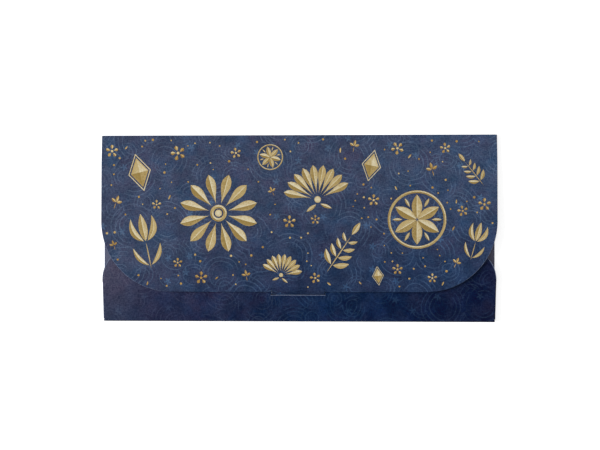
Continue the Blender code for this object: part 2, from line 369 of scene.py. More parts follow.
# Large and small rings: shift, cell, pitch, line and radii, then the shift, size and start of their fade
RINGS = (
    ((4.0, 11.0, 0.0), (21, 2.0, 0.46, 3.2, 10.8), (7.0, 3.0, 0.0), 12, 0.40),
    ((52.0, 83.0, 0.0), (12.5, 1.6, 0.40, 0.8, 5.4), (71.0, 19.0, 0.0), 10, 0.44),
)
FADE_SOFT = 0.16
LINE_LIFT = (0.008, 0.012, 0.016)
FLORET_BOOST = (0.88, 1.05, 1.12)
RIGHT_FROM = 15
GRAIN_SIZE = 0.42
FIBRE_PULL = 0.28
GRAIN_LOW = (0.54, 0.59, 0.70)
GRAIN_HIGH = (1.46, 1.41, 1.30)
# Painted sheen that the fibres add to the ink
FIBRE_SHEEN = (0.0075, 0.0100, 0.0125)
GRAIN_DEPTH = 0.03 * MM
SPECK_RANGE = (0.36, 0.64)
CORE = (0.170, 0.205, 0.310)
RUB_RAGGED = 0.8
RUB_RANGE = (0.15, 0.80)
NO_CAST = (1.0, 1.0, 1.0)


def blotted(bench, place, ground, strength):
    """The ground under irregular blots, each with a cast of its own."""
    for number, (size, cast, share) in enumerate(BLOTS):
        blot = bench.noise(place + BLOT_SHIFT * number, size, 4.0, BLOT_ROUGH)
        blot = bench.ease(blot, *BLOT_EDGE)
        ground = bench.tint(blot * (strength * share), ground, ground * cast)
    return ground


def line_work(bench, place):
    """Large and small rings that fade in and out, as one mask."""
    masks = []
    for shift, sizes, fade_shift, fade_size, start in RINGS:
        fade = bench.noise(place + fade_shift, fade_size, 1.0)
        masks.append(rings(bench, place + shift, *sizes) * bench.ease(fade, start, start + FADE_SOFT))
    return bench.sum("MAXIMUM", *masks)


def paper_grain(bench, place):
    """Specks and crossed fibres, around 0.5."""
    speck = bench.noise(place, GRAIN_SIZE, 2.0, 0.7)
    fibre = bench.noise(place * (1.0, FIBRE_PULL, 1.0), GRAIN_SIZE, 2.0, 0.6)
    weft = bench.noise(place * (FIBRE_PULL, 1.0, 1.0), GRAIN_SIZE, 2.0, 0.6)
    return (speck + fibre + weft) * (1 / 3)


def cast_right(bench, split, color, cast):
    """The colour with a cast that grows towards the right edge."""
    right = bench.ease(split["X"], RIGHT_FROM, FLAP_HALF / MM)
    return color * bench.tint(right, NO_CAST, cast)


def card_print(name, axis, stops, left_light_shift, right_cast_and_shade, blots, mottle, lines, line_gain, climb=None):
    """Printed card with painted shade. Its ground runs through stops of a place in mm along an axis and
    a colour, as painted shade on the navy print, and a shift at the left keeps the left lighter. The
    right end takes a cast, painted shade on the pocket. Blots, mottle and lines have a near and a far
    strength. Climb is two places in mm along Y, and the ground's cast at each of them: painted shade
    at the first and painted light at the second."""
    material, bench, shader = new_finish(name)
    place = paper_place(bench)
    split = bench.split(place)
    # A shift at the left keeps the ground lighter there, as painted light.
    along = split[axis] + bench.sum("MINIMUM", split["X"], 0.0) * left_light_shift
    faded = bench.ease(along, stops[0][0], stops[-1][0])

    def between(ends):
        return faded * (ends[1] - ends[0]) + ends[0]

    # The run through the stops is painted shade on the navy print.
    ground = stops[0][1]
    for (start, _), (end, color) in zip(stops, stops[1:]):
        ground = bench.tint(bench.ease(along, start, end), ground, color)
    # The cast towards the right is painted shade on the pocket and a cooler blue on the flap.
    ground = cast_right(bench, split, ground, right_cast_and_shade)
    # Painted shade at the pocket's foot and painted light towards its mouth.
    if climb:
        foot, head, foot_shade, head_light = climb
        ground = ground * bench.tint(bench.ease(split["Y"], foot, head), foot_shade, head_light)
    cloud = bench.noise(place + CLOUD_SHIFT, CLOUD_SIZE, 5.0, BLOT_ROUGH)
    cloud = (bench.ease(cloud, *CLOUD_RANGE) - 0.5) * between(mottle)
    pale = ground * (cloud + 1) * line_gain + LINE_LIFT
    ground = blotted(bench, place, ground, between(blots))
    ground = ground * (cloud + 1) + cloud * CLOUD_LIFT
    shown = between(lines)
    ground = bench.tint(line_work(bench, place) * shown, ground, pale)
    flowers = florets(bench, place, cell=10.5, radius=1.75, share=0.36)
    ground = bench.tint(flowers * shown, ground, pale * FLORET_BOOST)

    grain = paper_grain(bench, place)
    rubbed = bench.ease(bench.carried("wear") + (grain - 0.5) * RUB_RAGGED, *RUB_RANGE)
    ground = bench.tint(rubbed, ground, CORE)
    fibre = bench.ease(grain, *SPECK_RANGE)
    # The fibres scale the ink, and a small added lift is a painted sheen on them.
    ground = ground * bench.tint(fibre, GRAIN_LOW, GRAIN_HIGH) + (fibre - 0.5) * FIBRE_SHEEN
    bench.feed(shader, {
        "Base Color": ground, "Normal": bench.bump(grain, GRAIN_DEPTH, 0.5),
        "Roughness": grain * 0.3 + 0.46, "Specular IOR Level": 0.08,
    })
    return material


V_FLAP_TOP = (CREASE_Y + CREASE_ARC) / MM
V_FLAP_EDGE = V_FLAP_TOP + FLAP_LENGTH / MM
V_POCKET_FOOT = (FOLD_Y - FOLD_ARC) / MM
V_POCKET_MOUTH = V_POCKET_FOOT + (FOLD_Y - MOUTH_Y) / MM
# The flap's ground darkens towards its lower edge and stays lighter at the left: painted shade and light.
flap_print_and_shade = card_print(
    "flap_card", "Y",
    [(V_FLAP_TOP + 11, (0.0490, 0.0655, 0.1220)), (V_FLAP_EDGE + 6, (0.0169, 0.0318, 0.0800))],
    left_light_shift=0.4, right_cast_and_shade=(1.04, 1.14, 1.16), blots=(0.36, 0.36), mottle=(0.34, 0.42),
    lines=(0.70, 0.96), line_gain=(1.72, 1.84, 1.66),
)
# The pocket's ground is lighter at the left and towards the mouth, darker to the right and at the foot:
# painted light and shade on its navy print.
pocket_print_and_shade = card_print(
    "pocket_card", "X",
    [
        (-98, (0.0440, 0.0500, 0.0915)), (-62, (0.0200, 0.0238, 0.0630)),
        (-22, (0.0110, 0.0190, 0.0550)), (6, (0.0039, 0.0165, 0.0548)),
    ],
    left_light_shift=0.0, right_cast_and_shade=(0.66, 0.44, 0.60), blots=(0.12, 0.90), mottle=(0.30, 0.55),
    lines=(0.42, 0.90), line_gain=(1.70, 1.62, 1.40),
    climb=(V_POCKET_FOOT, V_POCKET_MOUTH + 7, (0.78, 0.88, 0.95), (1.60, 1.38, 1.25)),
)
print("flap from", round(V_FLAP_TOP, 1), "to", round(V_FLAP_EDGE, 1), "mm along the blank")

# %% [markdown]
# ## The inner face, the cut edge and the glue
# The inside is plain slate-blue card, a little warmer towards the right. Where the die cuts the
# sheet, the pale core shows. Where the tongue grows out of the flap nothing is cut, so the sides of
# that seam have the colour of the ink: there the wear is -1.

# %% Plain sides of the card
UNCUT = (0.020, 0.033, 0.078)
WARM_CAST = (1.24, 1.09, 1.03)
UNCUT_RANGE = (0.1, 0.6)
SPECK_SIZE = 0.38
SPECK_SHARE = 0.65
SPECK_DEPTH = 0.04 * MM


def plain_card(name, dark, pale, roughness, inked=False):
    """Unprinted card with specks. Inked card takes the ink's colour where its wear is -1."""
    material, bench, shader = new_finish(name)
    place = paper_place(bench)
    speck = bench.noise(place, SPECK_SIZE, 3.0, 0.7)
    cloud = bench.noise(place, CLOUD_SIZE, 3.0)
    shade = bench.ease(speck * SPECK_SHARE + cloud * (1 - SPECK_SHARE), *SPECK_RANGE)
    color = cast_right(bench, bench.split(place), bench.tint(shade, dark, pale), WARM_CAST)
    if inked:
        color = bench.tint(bench.ease(bench.carried("wear") * -1.0, *UNCUT_RANGE), color, UNCUT)
    relief = bench.bump(speck, SPECK_DEPTH, 0.5)
    bench.feed(shader, {"Base Color": color, "Normal": relief, "Roughness": roughness})
    return material


inner_card = plain_card("inner_card", (0.063, 0.070, 0.121), (0.106, 0.118, 0.195), 0.75)
cut_edge = plain_card("cut_edge", (0.13, 0.16, 0.24), (0.26, 0.30, 0.40), 0.8, inked=True)


def own_place(bench):
    """Place on the object, in millimetres."""
    return bench.node("ShaderNodeTexCoord", None, None, "Object") * (1 / MM)


def dried_glue():
    """Slightly yellow adhesive with small bubbles."""
    material, bench, shader = new_finish("adhesive")
    bubble = bench.noise(own_place(bench), 0.8, 2.0)
    color = bench.tint(bench.ease(bubble, 0.35, 0.65), (0.52, 0.49, 0.40), (0.66, 0.64, 0.57))
    relief = bench.bump(bubble, GRAIN_DEPTH)
    bench.feed(shader, {"Base Color": color, "Normal": relief, "Roughness": 0.38})
    return material


adhesive = dried_glue()
print("plain finishes:", inner_card.name, cut_edge.name, adhesive.name)

# %% [markdown]
# ## The gold inks
# The motifs are printed in a matt gold that is shaded like folded foil. Each facet has its own tone,
# which is strongest along the ridge. So the faces carry an attribute named tone, and the points one
# named crown, from 0 at the outline to 1 on a ridge. Coarse stipple breaks the colour up.

# %% Gold inks
STIPPLE_SIZE = 0.75
STIPPLE_DEPTH = 0.02 * MM
# How much the ridge, the stipple and the clouds change the tone, and the levels between its colours
RIDGE_PULL, STIPPLE_PULL, CLOUD_PULL = 0.7, 0.9, 0.5
DARK_LEVELS = (0.0, 0.6)
PALE_LEVELS = (0.55, 1.15)
RIM_CROWN = 0.25
RIM_SHARE = 0.45


def gold_ink(name, dark, middle, pale, outline, drift_size, drift):
    """Matt gold whose tone is read from the mesh and drifts over the print."""
    material, bench, shader = new_finish(name)
    place = own_place(bench)
    tone, crown = bench.carried("tone"), bench.carried("crown")
    stipple = bench.noise(place, STIPPLE_SIZE, 3.0, 0.75)
    cloud = bench.noise(place, 4 * STIPPLE_SIZE, 3.0, 0.6)
    slow = bench.noise(place, drift_size, 1.0)
    level = tone + (tone - 0.5) * (crown - 0.5) * RIDGE_PULL + (slow - 0.5) * drift
    level = level + (stipple - 0.5) * STIPPLE_PULL + (cloud - 0.5) * CLOUD_PULL
    color = bench.tint(bench.ease(level, *DARK_LEVELS), dark, middle)
    color = bench.tint(bench.ease(level, *PALE_LEVELS), color, pale)
    edge = 1 - bench.ease(crown, 0.0, RIM_CROWN)
    color = bench.tint(edge * RIM_SHARE, color, outline)
    bench.feed(shader, {
        "Base Color": color, "Normal": bench.bump(stipple, STIPPLE_DEPTH, 0.4),
        "Roughness": stipple * 0.2 + 0.4, "Metallic": 0.15, "Specular IOR Level": 0.25,
    })
    return material


large_gold = gold_ink(
    "gold_ink", (0.310, 0.207, 0.058), (0.510, 0.383, 0.165), (0.740, 0.660, 0.450),
    outline=(0.430, 0.285, 0.085), drift_size=20, drift=0.3,
)
small_gold = gold_ink(
    "ochre_ink", (0.270, 0.150, 0.030), (0.430, 0.265, 0.068), (0.690, 0.560, 0.280),
    outline=(0.400, 0.235, 0.055), drift_size=5, drift=1.6,
)
print("inks:", large_gold.name, small_gold.name)

# %% [markdown]
# ## Folding as a node tree
# A crease wraps the length of the bend round an axis one radius above the sheet. What lies beyond
# stays flat and is carried round. The thickness is given to the flat sheet first, so it stays true
# in the bends. A sheet chains one fold group for each of its creases.

# %% Groups that thicken and fold a sheet
SHEET_MERGE = 0.001 * MM
FOLD_INPUTS = (
    ("Line", "Vector"), ("Across", "Vector"), ("Up", "Vector"),
    ("Radius", "Float"), ("Turn", "Float"), ("Part", "Int"),
)


def new_tree(name, inputs):
    """The bench of a Geometry Nodes tree with named inputs, and its input wires."""
    tree = bpy.data.node_groups.new(name, "GeometryNodeTree")
    for label, kind in (("Geometry", "Geometry"), *inputs):
        tree.interface.new_socket(label, in_out="INPUT", socket_type=f"NodeSocket{kind}")
    tree.interface.new_socket("Geometry", in_out="OUTPUT", socket_type="NodeSocketGeometry")
    bench = Bench(tree)
    return bench, bench.node("NodeGroupInput")


def named(bench, label, kind="INT"):
    """An attribute of the mesh."""
    return bench.node("GeometryNodeInputNamedAttribute", {"data_type": kind}, {"Name": label})


def thicken_group():
    """Makes faces that look up a closed sheet, whose layer is 0 below, 1 above and 2 at the rim."""
    bench, given = new_tree("thicken", [("Thickness", "Float")])
    values = {"Offset Scale": given["Thickness"], "Individual": False}
    raised = bench.step("ExtrudeMesh", given["Geometry"], values, {"mode": "FACES"})
    body = raised
    for side, number in (("Top", 1), ("Side", 2)):
        values = {"Selection": raised[side], "Name": "layer", "Value": number}
        body = bench.step("StoreNamedAttribute", body, values, {"data_type": "INT", "domain": "FACE"})
    both = bench.step("JoinGeometry", bench.step("FlipFaces", given["Geometry"]))
    bench.feed(both.socket.node, {0: body})
    return bench.end(bench.step("MergeByDistance", both, {"Distance": SHEET_MERGE}))


def fold_group():
    """Turns what lies beyond a line about an axis above it. Part 0 folds all, others their own part."""
    bench, given = new_tree("fold", FOLD_INPUTS)
    line, across, up, radius, turn, part = (given[label] for label, _ in FOLD_INPUTS)
    place = bench.node("GeometryNodeInputPosition") - line
    beyond = bench.sum("DOT_PRODUCT", place, across)
    height = bench.sum("DOT_PRODUCT", place, up)
    side = place - across * beyond - up * height

    wrapped = bench.sum("MINIMUM", bench.sum("MAXIMUM", beyond / radius, 0.0), turn)
    before = bench.sum("MINIMUM", beyond, 0.0)
    after = bench.sum("MAXIMUM", beyond - radius * turn, 0.0)
    sine, cosine = bench.sum("SINE", wrapped), bench.sum("COSINE", wrapped)
    reach = before + (radius - height) * sine + after * cosine
    lift = radius - (radius - height) * cosine + after * sine
    folded = line + side + across * reach + up * lift

    gap = bench.sum("ABSOLUTE", named(bench, "part") - part) * part
    picked = bench.node("FunctionNodeCompare", {"operation": "LESS_THAN"}, {"A": gap, "B": 0.5})
    values = {"Selection": picked, "Position": folded}
    return bench.end(bench.step("SetPosition", given["Geometry"], values))


THICKEN = thicken_group()
FOLD = fold_group()
print("groups:", THICKEN.name, FOLD.name)

# %% [markdown]
# ## From flat blank to folded sheet
# The flat outline is a handful of panels that share their corners, with fine strips where it will
# bend. Narrow rims along the rounded corners and the slot carry the wear. A bevel modifier after
# the folding leaves the small bevel of the die-cut edge, which catches the light.

# %% Cutting and folding a sheet
BLANK_MERGE = 0.0001 * MM
EDGE_BEVEL = 0.12 * MM
RUB_WIDTH = 0.4 * MM
SHARP_FROM = math.radians(50)
SHADED_SHARP_FROM = math.radians(30)
BEND_STEPS = 22
CORNER_STEPS = 36


def upward_face(builder, points, layer):
    """A flat face that looks up, from points of (x, y) or (x, y, value). Values go into a layer."""
    corners = []
    for x, y, *value in points:
        corner = builder.verts.new((x, y, 0))
        corner[layer] = value[0] if value else 0.0
        corners.append(corner)
    face = builder.faces.new(corners)
    face.normal_update()
    if face.normal.z < 0:
        face.normal_flip()
    return face


def built_mesh(builder, name, merge):
    """The mesh that a builder holds, once its doubles are merged."""
    bmesh.ops.remove_doubles(builder, verts=builder.verts, dist=merge)
    mesh = bpy.data.meshes.new(name)
    builder.to_mesh(mesh)
    builder.free()
    return mesh


def cut_flat(name, panels):
    """A flat mesh. A panel is the part it folds with and its points as (x, y) or (x, y, wear)."""
    builder = bmesh.new()
    part = builder.verts.layers.int.new("part")
    wear = builder.verts.layers.float.new("wear")
    for number, points in panels:
        for corner in upward_face(builder, points, wear).verts:
            corner[part] = number
    mesh = built_mesh(builder, name, BLANK_MERGE)
    blank = mesh.uv_layers.new(name="blank")
    for loop in mesh.loops:
        blank.data[loop.index].uv = mesh.vertices[loop.vertex_index].co.xy
    return add_object(name, mesh)


def folding_tree(name, count, finish):
    """Thickens a sheet, folds it and gives each side its material."""
    inputs = [(f"{label} {number}", kind) for number in range(count) for label, kind in FOLD_INPUTS]
    bench, given = new_tree(name, [("Card", "Float"), *inputs])
    sheet = bench.step("Group", given["Geometry"], {"Thickness": given["Card"]}, {"node_tree": THICKEN})
    for number in range(count):
        values = {label: given[f"{label} {number}"] for label, _ in FOLD_INPUTS}
        sheet = bench.step("Group", sheet, values, {"node_tree": FOLD})
    sheet = bench.step("RealizeInstances", sheet)
    sheet = bench.step("SetMaterial", sheet, {"Material": finish})
    for number, material in ((1, inner_card), (2, cut_edge)):
        settings = {"data_type": "INT", "operation": "EQUAL"}
        picked = bench.node("FunctionNodeCompare", settings, {2: named(bench, "layer"), 3: number})
        sheet = bench.step("SetMaterial", sheet, {"Selection": picked, "Material": material})
    return bench.end(sheet)


def run_tree(item, tree, values):
    """Gives an object a tree as its modifier, and sets the inputs by their names."""
    modifier = item.modifiers.new(tree.name, "NODES")
    modifier.node_group = tree
    for socket in tree.interface.items_tree:
        if socket.in_out == "INPUT" and socket.name in values:
            modifier[socket.identifier] = values[socket.name]


def made_plain(shaped, name):
    """The evaluated object as a plain mesh object at the origin."""
    graph = bpy.context.evaluated_depsgraph_get()
    mesh = bpy.data.meshes.new_from_object(shaped.evaluated_get(graph), depsgraph=graph)
    mesh.name = name
    bpy.data.objects.remove(shaped, do_unlink=True)
    used = sorted({face.material_index for face in mesh.polygons})
    places = [used.index(face.material_index) for face in mesh.polygons]
    finishes = [mesh.materials[number] for number in used]
    mesh.materials.clear()
    for finish in finishes:
        mesh.materials.append(finish)
    mesh.polygons.foreach_set("material_index", places)
    mesh.shade_smooth()
    mesh.set_sharp_from_angle(angle=SHADED_SHARP_FROM)
    print(name, len(mesh.polygons), "faces,", [finish.name for finish in finishes])
    return add_object(name, mesh)


def fold_sheet(name, panels, folds, finish):
    """Cuts the panels flat and folds them in the order given."""
    flat = cut_flat(f"{name}_flat", panels)
    flat.data.materials.append(finish)
    values = {"Card": CARD}
    for number, ((line_x, line_y), across, up, *rest) in enumerate(folds):
        fold = [(line_x, line_y, CARD / 2), (*across, 0.0), (0.0, 0.0, up), *rest]
        for (label, _), value in zip(FOLD_INPUTS, fold):
            values[f"{label} {number}"] = value
    run_tree(flat, folding_tree(f"{name}_folding", len(folds), finish), values)
    bevel = flat.modifiers.new("edge", "BEVEL")
    bevel.width = EDGE_BEVEL
    bevel.segments = 1
    bevel.limit_method = "ANGLE"
    bevel.angle_limit = SHARP_FROM
    bevel.material = 2
    return made_plain(flat, name)


def mirrored(points):
    """The same points on the other side, in the opposite order."""
    return [(-x, *rest) for x, *rest in reversed(points)]


def on_circle(centre, radius, turn):
    """The place on a circle at an angle."""
    return centre[0] + radius * math.cos(turn), centre[1] + radius * math.sin(turn)


def corner_arc(centre, radius, start, end, rubbed=(0.0, 0.0, 1.0)):
    """Points of a rounded corner, from angle start to angle end. Rubbed is the rub towards each end,
    and a power that is small where it stays even right up to the ends."""
    first, last, power = rubbed
    points = []
    for step in range(CORNER_STEPS + 1):
        share = step / CORNER_STEPS
        fade = math.sin(math.pi * share) ** power if 0 < share < 1 else 0.0
        rub = (first + (last - first) * share) * fade
        points.append((*on_circle(centre, radius, start + (end - start) * share), rub))
    return points


def corner_rim(centre, radius, start, end, rubbed):
    """Narrow facets between the edge of a rounded corner and its sound print."""
    outer = corner_arc(centre, radius, start, end, rubbed)
    inner = corner_arc(centre, radius - RUB_WIDTH, start, end)
    return [list(quad) for quad in zip(outer, outer[1:], inner[1:], inner)]


def bend_rows(start, length):
    """Rows along a bend, closest at its ends, so that the flat card beside it shades flat."""
    turns = [math.pi * step / BEND_STEPS for step in range(BEND_STEPS + 1)]
    return [start + length * (1 - math.cos(turn)) / 2 for turn in turns]


def strips(half, start, length):
    """Narrow panels across the whole sheet, where it will bend."""
    rows = bend_rows(start, length)
    outlines = [[(-half, a), (half, a), (half, b), (-half, b)] for a, b in zip(rows, rows[1:])]
    return [(0, outline) for outline in outlines]


print("bevel of the cut edge", EDGE_BEVEL / MM, "mm")

# %% [markdown]
# ## Back, top crease and flap
# These are one stretch of card and stay one piece: split at the crease, the card would tear when
# the flap opens. A shallow notch in the flap's lower edge takes the root of the tongue.

# %% The path of the tongue, which sets the depth of the notch
def tongue_path():
    """Where the tongue's middle line bends, as (y, z), and how far along the flap that is."""
    start = Vector((CREASE_Y, CREASE_OUTER)) + CREASE_RADIUS * Vector((math.sin(RISE), math.cos(RISE)))
    rise = Vector((-math.cos(RISE), math.sin(RISE)))
    dip = Vector((-math.cos(TONGUE_DIP), -math.sin(TONGUE_DIP)))
    slot = Vector((LIP_Y + SLOT_HIGH / 2, (front_low.z + front_high.z) / 2))
    along = (slot - start).cross(dip) / rise.cross(dip)
    layer = tongue_low.z + CARD / 2
    return along, start + along * rise, slot + dip * (slot.y - layer) / math.sin(TONGUE_DIP)


ALONG_TO_KNEE, KNEE, ANKLE = tongue_path()
KNEE_TANGENT = TONGUE_BEND * math.tan((TONGUE_DIP + RISE) / 2)
ANKLE_TANGENT = TONGUE_BEND * math.tan(TONGUE_DIP / 2)
ROOT_ALONG = ALONG_TO_KNEE - KNEE_TANGENT - TONGUE_ROOT
FLAP_START = CREASE_Y + CREASE_ARC
ROOT_V = FLAP_START + ROOT_ALONG
CREASE_FOLD = ((0, CREASE_Y), (0, 1), 1, CREASE_RADIUS, CREASE_TURN, 0)
NOTCH_AIR = 0.05 * MM


# %% Back and flap
# Rub at the side and at the foot of each corner, and the power of its fade
FLAP_RIGHT_RUB = (1.4, 0.2, 1.0)
FLAP_LEFT_RUB = (0.4, 0.7, 0.3)


def back_and_flap():
    """The back panel, the crease and the flap, as one folded sheet."""
    neck_y = CREASE_Y - CREASE_AIR
    back = [
        (BACK_HALF, FOLD_Y), (BACK_HALF, neck_y - SHOULDER), (CREASE_HALF, neck_y), (CREASE_HALF, CREASE_Y),
    ]
    edge = FLAP_START + FLAP_LENGTH
    notch = TONGUE_HALF + NOTCH_AIR
    centre = (FLAP_HALF - FLAP_CORNER, edge - FLAP_CORNER)
    sweep = (0, math.pi / 2)
    flap = [(CREASE_HALF, FLAP_START), (FLAP_HALF, FLAP_START + FLAP_FLARE), (FLAP_HALF, centre[1])]
    flap += corner_arc(centre, FLAP_CORNER - RUB_WIDTH, *sweep)
    flap += [(centre[0], edge), (notch, edge, -1.0), (notch, ROOT_V, -1.0)]
    outlines = [flap + mirrored(flap)] + corner_rim(centre, FLAP_CORNER, *sweep, FLAP_RIGHT_RUB)
    outlines += map(mirrored, corner_rim(centre, FLAP_CORNER, *sweep, FLAP_LEFT_RUB))
    panels = [(0, back + mirrored(back))] + strips(CREASE_HALF, CREASE_Y, CREASE_ARC)
    panels += [(0, outline) for outline in outlines]
    return fold_sheet("back_and_flap_card", panels, [CREASE_FOLD], flap_print_and_shade)


back_and_flap_card = back_and_flap()

# %% [markdown]
# ## The pocket
# The side tabs are turned in first, while the sheet is flat, as on a gluing machine. Then the front
# is folded up from the foot of the back. The slot is as wide as its lip only at the very bottom.
# Above that it narrows to the tongue's width, so that no dark gap shows beside the tongue.

# %% Outline of the pocket
NICK = 0.04 * MM
LIP_FADE = 0.4 * MM
LIP_RUB = (0.0, 1.0, 1.0, 0.0)
POCKET_RUB = (1.6, 1.6, 0.3)
THROAT_AIR = 0.1 * MM
THROAT_HALF = TONGUE_HALF + THROAT_AIR
THROAT_RISE = 0.4 * MM


def side_x(y):
    """Outermost X of the pocket's leaning side at height y."""
    tangent_x = CORNER_X + POCKET_CORNER * math.cos(POCKET_LEAN)
    return tangent_x - (TANGENT_Y - y) * math.tan(POCKET_LEAN)


def on_blank(points):
    """Points of the pocket front, given as they lie when folded, on the flat blank."""
    return [(x, 2 * FOLD_Y - FOLD_ARC - y, *rub) for x, y, *rub in points]


def front_panels(foot, head):
    """The pocket front: two halves, their rims, and what is above and below the slot."""
    high, line = LIP_Y + SLOT_HIGH, LIP_Y - RUB_WIDTH
    centre = (CORNER_X, CORNER_Y)
    sweep = (-POCKET_LEAN, math.pi / 2)
    tip = corner_arc(centre, POCKET_CORNER, *sweep)
    right = [
        (SLOT_HALF, FOLD_Y), (BACK_HALF, FOLD_Y), foot, head, (side_x(HEAD_Y + NICK), HEAD_Y + NICK),
        tip[0], *corner_arc(centre, POCKET_CORNER - RUB_WIDTH, *sweep), tip[-1],
        (THROAT_HALF, MOUTH_Y), (THROAT_HALF, high), (THROAT_HALF, LIP_Y + THROAT_RISE),
        (SLOT_HALF, LIP_Y), (SLOT_HALF, line),
    ]
    outlines = [right, mirrored(right)]
    for quad in corner_rim(centre, POCKET_CORNER, *sweep, POCKET_RUB):
        outlines += [quad, mirrored(quad)]
    above = [(THROAT_HALF, high), (THROAT_HALF, MOUTH_Y)]
    ends = (-SLOT_HALF, LIP_FADE - SLOT_HALF, SLOT_HALF - LIP_FADE, SLOT_HALF)
    under = [(x, line) for x in ends]
    lip = [(x, LIP_Y, rub) for x, rub in zip(ends, LIP_RUB)]
    below = [(-SLOT_HALF, FOLD_Y), *under, (SLOT_HALF, FOLD_Y)]
    outlines += [above + mirrored(above), below[::-1], *zip(under, under[1:], lip[1:], lip)]
    return [(0, on_blank(outline)) for outline in outlines]


def tab_panels(foot, head, side, part):
    """One side fold, in narrow strips, and the tab beyond it."""
    away = Vector((math.cos(POCKET_LEAN), -math.sin(POCKET_LEAN)))
    run = Vector((math.sin(POCKET_LEAN), math.cos(POCKET_LEAN)))
    ends = Vector(foot), Vector(head)
    rows = [[end + away * reach for end in ends] for reach in bend_rows(0.0, SIDE_ARC)]
    free = away * (SIDE_ARC + CREASE_AIR + TAB_WIDTH)
    rows.append([end + free + run * slant for end, slant in zip(ends, (TAB_SLANT, -TAB_SLANT))])
    quads = [(near[0], far[0], far[1], near[1]) for near, far in zip(rows, rows[1:])]
    return [(part, on_blank([(side * p.x, p.y) for p in quad])) for quad in quads]


# %% Pocket front with its tabs
def pocket():
    """The bottom fold, the front, the side folds and the tabs, as one folded sheet."""
    outer = SIDE_RADIUS + CARD / 2
    foot = (side_x(FOOT_Y) - outer, FOOT_Y)
    head = (side_x(HEAD_Y) - outer, HEAD_Y)
    bend = strips(BACK_HALF, FOLD_Y, -FOLD_ARC)
    _, last = bend.pop()
    slot_ends = [(SLOT_HALF, last[2][1]), (-SLOT_HALF, last[2][1])]
    panels = front_panels(foot, head) + bend + [(0, last[:3] + slot_ends + last[3:])]
    folds = []
    for side, part in ((1, 1), (-1, 2)):
        panels += tab_panels(foot, head, side, part)
        [line] = on_blank([(side * foot[0], foot[1])])
        across = (side * math.cos(POCKET_LEAN), math.sin(POCKET_LEAN))
        folds.append((line, across, 1, SIDE_RADIUS, math.pi, part))
    folds.append(((0, FOLD_Y), (0, -1), 1, FOLD_RADIUS, math.pi, 0))
    return fold_sheet("pocket_card_front", panels, folds, pocket_print_and_shade)


pocket_front = pocket()

# %% [markdown]
# ## The tongue
# The tongue dips from the flap's lower edge through the slot and lies down behind the pocket front.
# It moves with the flap as a whole, so it is a piece of its own that meets the flap at the bottom
# of the notch. Its folds are made from the free end inwards.

# %% Tuck tongue
# Rub on the tongue's sides: wear that shows the pale core, made stronger on the left as a painted
# highlight.
LEFT_RUB_AND_HIGHLIGHT = 1.1
RIGHT_RUB_AND_HIGHLIGHT = 0.45


def tuck_tongue():
    """The tongue with its two bends, rubbed sides and rounded free corners. The rub shows the pale core,
    and it is stronger on the left as a painted highlight.
    """
    knee_v = ROOT_V + TONGUE_ROOT
    knee_turn = TONGUE_DIP + RISE
    straight = math.dist(KNEE, ANKLE) - KNEE_TANGENT - ANKLE_TANGENT
    ankle_v = knee_v + TONGUE_BEND * knee_turn + straight
    tail_v = ankle_v + TONGUE_BEND * TONGUE_DIP
    end_v = tail_v + ANKLE[0] - ANKLE_TANGENT - TONGUE_END_Y

    knee_rows = bend_rows(knee_v, TONGUE_BEND * knee_turn)
    ankle_rows = bend_rows(ankle_v, TONGUE_BEND * TONGUE_DIP)
    middle = len(knee_rows) // 2
    rows = [(v, -1.0, -1.0) for v in [ROOT_V] + knee_rows[:middle]]
    rows += [(v, LEFT_RUB_AND_HIGHLIGHT, RIGHT_RUB_AND_HIGHLIGHT) for v in knee_rows[middle:] + ankle_rows[:1]]
    rows += [(v, 0.0, 0.0) for v in ankle_rows[1:]]
    half = TONGUE_HALF
    inner = half - RUB_WIDTH
    panels = []
    for (a, *rubs_a), (b, *rubs_b) in zip(rows, rows[1:]):
        panels.append((0, [(-inner, a), (inner, a), (inner, b), (-inner, b)]))
        for side, rub_a, rub_b in zip((-1, 1), rubs_a, rubs_b):
            rim = [(inner, a), (half, a, rub_a), (half, b, rub_b), (inner, b)]
            panels.append((0, [(side * x, *rest) for x, *rest in rim]))
    right = [(inner, tail_v), (half, tail_v)]
    right += corner_arc((half - TONGUE_CORNER, end_v - TONGUE_CORNER), TONGUE_CORNER, 0, math.pi / 2)
    panels.append((0, right + mirrored(right)))
    folds = [
        ((0, ankle_v), (0, 1), -1, TONGUE_BEND, TONGUE_DIP, 0),
        ((0, knee_v), (0, 1), 1, TONGUE_BEND, knee_turn, 0),
        CREASE_FOLD,
    ]
    return fold_sheet("tuck_tongue_card", panels, folds, flap_print_and_shade)


tongue_card = tuck_tongue()

# %% [markdown]
# ## Motifs for the print
# The ornament is generic: rosettes, fans, sprigs, lozenges and florets. Nearly all of them are made
# from one leaf, split along its ridge into a half that faces the light and a half in shade. Each
# motif is drawn flat at a diameter of 1, so that it can be placed at any size.

# %% Leaf, disc and ring
LIGHT_FROM = Vector((0.55, 0.83))
MIDDLE_TONE = 0.47
RIDGE_TONE = 1.25
BUTTON_TONE = 0.9
DOT_TONE = 0.62
LEAF_FULLNESS = 0.85


def lit(direction):
    """Tone of a facet that leans in a direction, from 0 in shade to 1 in light."""
    return MIDDLE_TONE + MIDDLE_TONE * direction.normalized().dot(LIGHT_FROM)


def facets(first, second, tone):
    """Facets between two rails of (x, y, crown). Where the rails meet, a facet is a triangle."""
    faces = []
    for corners in zip(first, first[1:], second[1:], second):
        corners = list(dict.fromkeys(corners))
        if len(corners) > 2:
            faces.append((corners, tone))
    return faces


